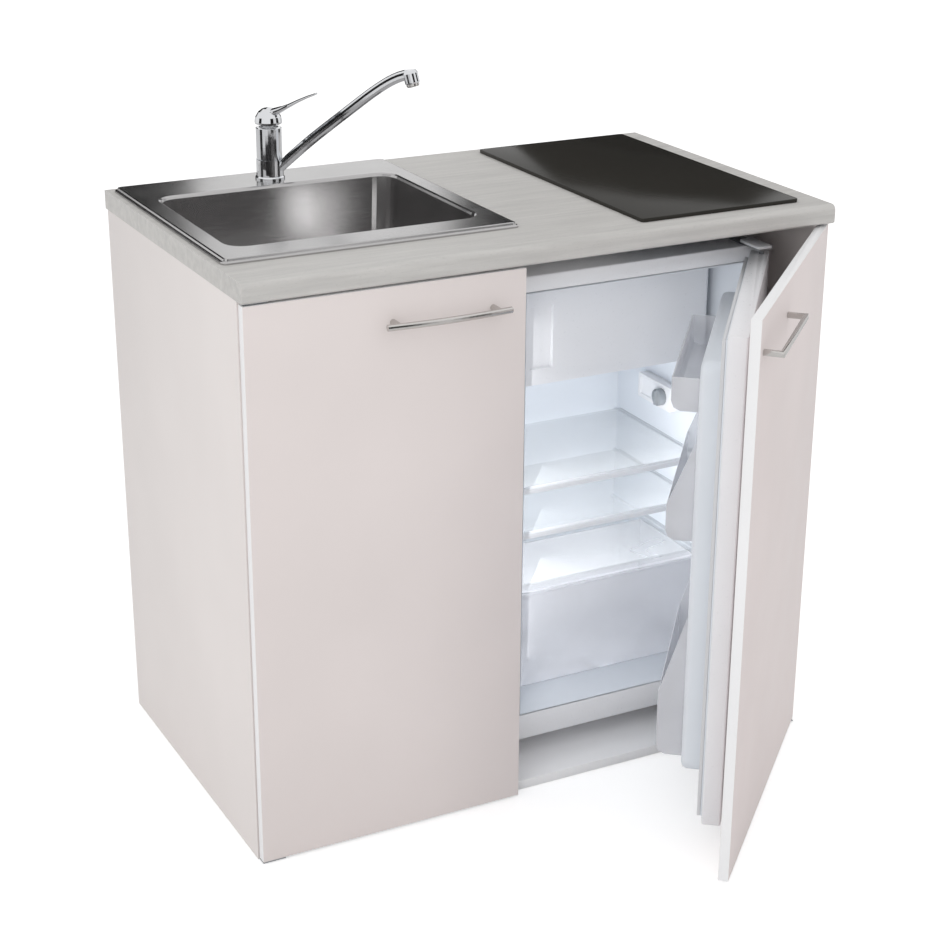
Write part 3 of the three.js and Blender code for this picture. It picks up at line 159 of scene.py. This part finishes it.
def laminate(name, color):
    g = Graph(name)
    streaks = g.noise(26.0, (0.22, 3.2, 3.2), detail=6.0, rough=0.6)
    specks = g.noise(420.0, (0.35, 1.0, 1.0), detail=3.0)
    body = g.mix(g.ramp(streaks, 0.33, 0.68, 0.0, 1.0), shade(color, 0.9), shade(color, 1.08))
    body = g.mix(g.ramp(specks, 0.58, 0.72, 0.0, 0.45), body, shade(color, 0.8))
    # the lighter colour along the worktop's corners is a painted highlight
    g.link(g.mix(g.edges(), body, shade(color, 1.12)), g.shader.inputs["Base Color"])
    g.link(g.ramp(streaks, 0.3, 0.7, 0.42, 0.56), g.shader.inputs["Roughness"])
    g.bump([(specks, 0.16, 0.0003), (streaks, 0.06, 0.0004)])
    return g.material


def brushed(name, color, rough, stretch, strength=0.03):
    g = Graph(name)
    lines = g.noise(1100.0, stretch, detail=3.0, rough=0.5)
    cloud = g.noise(9.0, detail=2.0)
    body = g.mix(g.ramp(lines, 0.3, 0.7, 0.0, 1.0), shade(color, 0.96), shade(color, 1.03))
    # the lighter colour along the metal's corners is a painted highlight
    g.link(g.mix(g.edges(), body, shade(color, 1.12)), g.shader.inputs["Base Color"])
    total = g.node("ShaderNodeMath", operation="ADD")
    g.link(g.ramp(lines, 0.3, 0.7, rough - 0.03, rough + 0.03), total.inputs[0])
    g.link(g.ramp(cloud, 0.3, 0.7, -0.02, 0.03), total.inputs[1])
    g.link(total.outputs[0], g.shader.inputs["Roughness"])
    g.put("Metallic", 1.0)
    g.bump([(lines, strength, 0.0001)])
    return g.material


def polished(name, color, rough):
    g = Graph(name)
    smear = g.noise(22.0, detail=3.0)
    g.link(g.mix(g.ramp(smear, 0.3, 0.7, 0.0, 1.0), shade(color, 0.97), shade(color, 1.02)),
           g.shader.inputs["Base Color"])
    g.link(g.ramp(smear, 0.35, 0.75, rough, rough + 0.05), g.shader.inputs["Roughness"])
    g.put("Metallic", 1.0)
    g.bump([(g.noise(120.0, detail=1.0), 0.02, 0.0002)])
    return g.material


def moulded(name, color, rough, grain=500.0, strength=0.03, gloss=0.5):
    g = Graph(name)
    cloud = g.noise(7.0, detail=2.0)
    fine = g.noise(grain, detail=2.0)
    body = g.mix(g.ramp(cloud, 0.3, 0.7, 0.0, 1.0), shade(color, 0.985), shade(color, 1.01))
    # the lighter colour along the corners is a painted highlight
    g.link(g.mix(g.edges(), body, shade(color, 1.05)), g.shader.inputs["Base Color"])
    g.link(g.ramp(fine, 0.3, 0.7, rough - 0.03, rough + 0.04), g.shader.inputs["Roughness"])
    g.put("Specular IOR Level", gloss)
    g.bump([(fine, strength, 0.0001), (g.noise(16.0, detail=1.0), 0.02, 0.0006)])
    return g.material


def black_glass(name):
    g = Graph(name)
    smear = g.noise(6.0, detail=3.0)
    color = linear(0.2, 0.193, 0.178)
    dots = g.noise(1500.0, detail=1.0)
    body = g.mix(g.ramp(dots, 0.62, 0.75, 0.0, 0.3), color, linear(0.22, 0.21, 0.2))
    g.link(body, g.shader.inputs["Base Color"])
    g.link(g.ramp(smear, 0.3, 0.75, 0.12, 0.2), g.shader.inputs["Roughness"])
    g.put("Specular IOR Level", 0.15)
    g.bump([(g.noise(3.0, detail=1.0), 0.02, 0.001)])
    return g.material


def clear_plastic(name, color, alpha_low, alpha_high, rough, wave=0.03):
    """thin see-through walls: a glossy skin over a partly clear body"""
    g = Graph(name)
    cloud = g.noise(12.0, detail=2.0)
    g.link(g.mix(g.ramp(cloud, 0.3, 0.7, 0.0, 1.0), shade(color, 0.96), shade(color, 1.02)),
           g.shader.inputs["Base Color"])
    facing = g.node("ShaderNodeLayerWeight")
    facing.inputs["Blend"].default_value = 0.35
    g.link(g.ramp(facing.outputs["Facing"], 0.1, 0.95, alpha_low, alpha_high), g.shader.inputs["Alpha"])
    g.link(g.ramp(g.noise(40.0), 0.3, 0.7, rough, rough + 0.08), g.shader.inputs["Roughness"])
    g.put("Specular IOR Level", 0.6)
    g.bump([(g.noise(18.0, detail=1.0), wave, 0.001)])
    return g.material


WARM_WHITE = linear(0.935, 0.9, 0.891)
# a rosier copy of the warm white front board: a painted shade tint for the decor door
ROSE_SHADE_TINTED_WHITE = linear(0.936, 0.894, 0.888)
PANEL_WHITE = linear(0.937, 0.912, 0.903)
EDGE_CREAM = linear(0.95, 0.94, 0.925)
COOL_WHITE = linear(0.955, 0.958, 0.97)

MATERIALS = {
    "front": board("front_board", WARM_WHITE, 0.42, EDGE_CREAM),
    "decor": board("decor_board_shade_tinted", ROSE_SHADE_TINTED_WHITE, 0.42, EDGE_CREAM),
    "band": board("edge_band", linear(0.985, 0.985, 0.99), 0.4, EDGE_CREAM),
    "carcass": board("carcass_board", PANEL_WHITE, 0.5, EDGE_CREAM),
    "worktop": laminate("worktop_laminate", linear(0.803, 0.795, 0.783)),
    "steel": brushed("brushed_steel", linear(0.72, 0.715, 0.715), 0.21, (0.03, 1.0, 1.0), 0.003),
    "zinc": brushed("plated_steel", linear(0.7, 0.71, 0.72), 0.38, (1.0, 1.0, 0.6)),
    "chrome": polished("polished_chrome", linear(0.86, 0.865, 0.875), 0.05),
    "satin": polished("satin_nickel", linear(0.8, 0.79, 0.78), 0.18),
    "glassBlack": black_glass("black_glass"),
    "enamel": moulded("white_enamel", COOL_WHITE, 0.3, 260.0, 0.015),
    "liner": moulded("moulded_liner", linear(0.91, 0.93, 0.955), 0.36, 420.0, 0.02),
    "seal": moulded("soft_seal", linear(0.86, 0.865, 0.875), 0.6, 700.0, 0.06, 0.3),
    "clear": clear_plastic("frosted_plastic", linear(0.95, 0.955, 0.975), 0.42, 0.85, 0.3),
    "glass": clear_plastic("shelf_glass", linear(0.95, 0.965, 0.975), 0.05, 0.4, 0.05, 0.01),
    "whitePlastic": moulded("white_plastic", linear(0.94, 0.945, 0.955), 0.36),
    "greyPlastic": moulded("grey_plastic", linear(0.6, 0.62, 0.64), 0.42),
    "blackPlastic": moulded("black_plastic", linear(0.1, 0.1, 0.105), 0.45),
    "blackSteel": moulded("black_steel", linear(0.13, 0.135, 0.14), 0.4, 300.0, 0.2),
    "heater": moulded("heater_fibre", linear(0.32, 0.31, 0.3), 0.8, 200.0, 0.4),
}


# pieces whose finish differs from that of their slot
OTHER_FINISH = {
    # the decor door takes the rosier copy of the front board: a painted shade tint
    "decor_door": "decor",
    "upper_shelf": "glass",
    "lower_shelf": "glass",
    "crisper_lid": "glass",
    # the fridge bay floor gets the whiter edge-band board so that it looks brighter: painted light
    "fridge_bay_floor": "band",
}


def dress_nodes():
    slots = {row["node"]: row["material_slot"] for row in frame["record"]["subparts"]}
    slots.update(OTHER_FINISH)
    for name, obj in NODES.items():
        material = MATERIALS[slots[name]]
        if not obj.material_slots:
            obj.data.materials.append(material)
        for place in obj.material_slots:
            place.material = material


WELD_M = 0.00001
SOFT_ANGLE = 28.0
SOFT_SEGMENTS = 2
BAND_TILT = 0.5

# width in mm of the rounded edges, and the pieces that have them
SOFTENED = {
    0.9: ["left_side_panel", "divider_panel", "right_side_panel", "sink_cabinet_floor", "fridge_bay_floor",
          "sink_front_rail", "fridge_rear_rail", "sink_door", "decor_door"],
    0.5: ["sink_back_panel", "drag_channel", "drag_pin_bracket", "hob_tray", "waste_pipe", "bottle_trap",
          "sink_door_upper_pivot", "sink_door_lower_pivot",
          "decor_door_upper_pivot", "decor_door_lower_pivot",
          "fridge_upper_hinge", "fridge_lower_hinge", "upper_shelf", "lower_shelf", "decor_door_handle",
          "hob_glass"],
    1.5: ["fridge_hinge_cap", "upper_shelf_trim", "lower_shelf_trim", "crisper_lid", "thermostat_housing",
          "thermostat_knob", "front_left_foot", "front_right_foot"],
    2.5: ["fridge_cabinet", "fridge_liner", "ice_box", "ice_box_flap", "fridge_door", "fridge_door_liner"],
    1.0: ["fridge_door_gasket", "crisper_drawer", "top_bin", "middle_bin", "bottle_bin", "compressor"],
}


def soften(obj, width):
    weld = obj.modifiers.new("weld", "WELD")
    weld.merge_threshold = WELD_M
    bevel = obj.modifiers.new("soft_edges", "BEVEL")
    bevel.width = width * MM
    bevel.segments = SOFT_SEGMENTS
    bevel.limit_method = "ANGLE"
    bevel.angle_limit = math.radians(SOFT_ANGLE)
    bevel.use_clamp_overlap = True
    bevel.harden_normals = True
    obj.data.shade_smooth()


# boards with a whiter band round their narrow faces
BANDED = ["decor_door", "sink_door"]


def band_edges(obj):
    """the narrow faces round a board carry a whiter edge band than its two broad ones"""
    mesh = obj.data
    broad = max(mesh.polygons, key=lambda face: face.area).normal.copy()
    mesh.materials.append(MATERIALS["band"])
    band = len(mesh.materials) - 1
    for face in mesh.polygons:
        if abs(face.normal.dot(broad)) < BAND_TILT:
            face.material_index = band


def band_boards():
    for name in BANDED:
        band_edges(NODES[name])


def soften_nodes():
    for width, names in SOFTENED.items():
        for name in names:
            soften(NODES[name], width)


# ---- studio
WORLD_ON_OBJECT = 0.8
WORLD_IN_VIEW = 1.0
FLOOR_HALF = 30.0
FLOOR_DROP = 0.0004
FLOOR_GREY = (0.88, 0.88, 0.88, 1)
FLOOR_GLOW = 0.42
CARD_BLACK = (0.012, 0.012, 0.012, 1)


def area_light(name, at, toward, size, energy, color=(1, 1, 1)):
    data = bpy.data.lights.new(name, "AREA")
    data.shape = "RECTANGLE"
    data.size, data.size_y = size
    data.energy = energy
    data.color = color
    lamp = bpy.data.objects.new(name, data)
    bpy.context.scene.collection.objects.link(lamp)
    lamp.location = at
    lamp.rotation_euler = (Vector(toward) - Vector(at)).to_track_quat("-Z", "Y").to_euler()
    lamp.visible_camera = False
    lamp.visible_glossy = False
    return lamp


def make_world():
    world = bpy.data.worlds.new("studio")
    bpy.context.scene.world = world
    world.use_nodes = True
    tree = world.node_tree
    background = next(n for n in tree.nodes if n.type == "BACKGROUND")
    path = tree.nodes.new("ShaderNodeLightPath")
    seen = tree.nodes.new("ShaderNodeMath")
    seen.operation = "MAXIMUM"
    tree.links.new(path.outputs["Is Camera Ray"], seen.inputs[0])
    tree.links.new(path.outputs["Is Glossy Ray"], seen.inputs[1])
    either = tree.nodes.new("ShaderNodeMath")
    either.operation = "MAXIMUM"
    tree.links.new(seen.outputs[0], either.inputs[0])
    tree.links.new(path.outputs["Is Transmission Ray"], either.inputs[1])
    level = tree.nodes.new("ShaderNodeMapRange")
    level.inputs["To Min"].default_value = WORLD_ON_OBJECT
    level.inputs["To Max"].default_value = WORLD_IN_VIEW
    tree.links.new(either.outputs[0], level.inputs["Value"])
    background.inputs["Color"].default_value = (1, 1, 1, 1)
    tree.links.new(level.outputs["Result"], background.inputs["Strength"])


def make_floor():
    mesh = bpy.data.meshes.new("floor")
    half = FLOOR_HALF
    corners = [(-half, -half, 0), (half, -half, 0), (half, half, 0), (-half, half, 0)]
    mesh.from_pydata(corners, [], [(0, 1, 2, 3)])
    floor = bpy.data.objects.new("floor", mesh)
    floor.location.z = -FLOOR_DROP
    bpy.context.scene.collection.objects.link(floor)
    g = Graph("pale_floor")
    g.put("Base Color", FLOOR_GREY)
    g.put("Roughness", 0.9)
    path = g.node("ShaderNodeLightPath")
    g.put("Emission Color", (1, 1, 1, 1))
    strength = g.ramp(path.outputs["Is Camera Ray"], 0.0, 1.0, 0.0, FLOOR_GLOW)
    g.link(strength, g.shader.inputs["Emission Strength"])
    mesh.materials.append(g.material)


# name, place, point it faces, width and height, watts
LAMPS = [
    ("key_left", (-3.6, -2.0, 2.6), (0, 0, 0.5), (2.6, 2.6), 14),
    ("fill_front", (1.6, -4.2, 2.0), (0, 0, 0.5), (2.4, 2.4), 3),
    ("fill_left", (-2.6, -3.0, 0.9), (0, 0, 0.4), (2.2, 1.6), 6),
    ("top", (0.2, 0.3, 4.0), (0, 0, 0.5), (3.0, 3.0), 5),
    ("opening_fill", (0.16, -0.245, 0.47), (0.16, 0.3, 0.47), (0.36, 0.76), 0.1),
    ("shelf_fill", (0.19, -0.115, 0.32), (0.19, 0.3, 0.3), (0.38, 0.44), 0.84),
    ("door_fill", (0.06, -0.12, 0.45), (0.266, -0.285, 0.45), (0.22, 0.6), 0.6),
]


def make_lights():
    for lamp in LAMPS:
        area_light(*lamp)
    glow = area_light("bowl_glow", (-0.08, -0.128, 0.84), (-0.13, 0.18, 0.85), (0.06, 0.08), 0.03)
    glow.visible_glossy = True


def dark_card(name, corners):
    """a black card that only mirrors see, so that the metal and the glass get dark streaks"""
    mesh = bpy.data.meshes.new(name)
    mesh.from_pydata(corners, [], [(0, 1, 2, 3)])
    card = bpy.data.objects.new(name, mesh)
    bpy.context.scene.collection.objects.link(card)
    g = Graph(name)
    g.put("Base Color", CARD_BLACK)
    g.put("Roughness", 1.0)
    mesh.materials.append(g.material)
    card.visible_camera = False
    card.visible_diffuse = False
    card.visible_shadow = False
    card.visible_transmission = False


def upright_card(name, x0, y0, x1, y1, z0, z1):
    dark_card(name, [(x0, y0, z0), (x1, y1, z0), (x1, y1, z1), (x0, y0, z1)])


def make_cards():
    upright_card("card_behind_left", -1.6, 3.0, 0.6, 3.0, 0.9, 3.4)
    upright_card("card_behind_right", 1.5, 3.0, 3.6, 3.0, 0.9, 3.4)
    upright_card("card_front_left", -0.8, -3.6, 0.95, -3.6, 0.3, 3.2)
    upright_card("card_front_right", 1.6, -3.6, 2.3, -3.6, 0.3, 3.2)
    upright_card("card_left", -2.6, -0.6, -2.6, 0.5, 0.4, 3.0)
    upright_card("card_right", 2.6, -1.6, 2.6, -0.9, 0.2, 3.0)


make_camera()
dress_nodes()
band_boards()
soften_nodes()
make_world()
make_floor()
make_lights()
make_cards()
bpy.context.scene.view_settings.view_transform = "Standard"
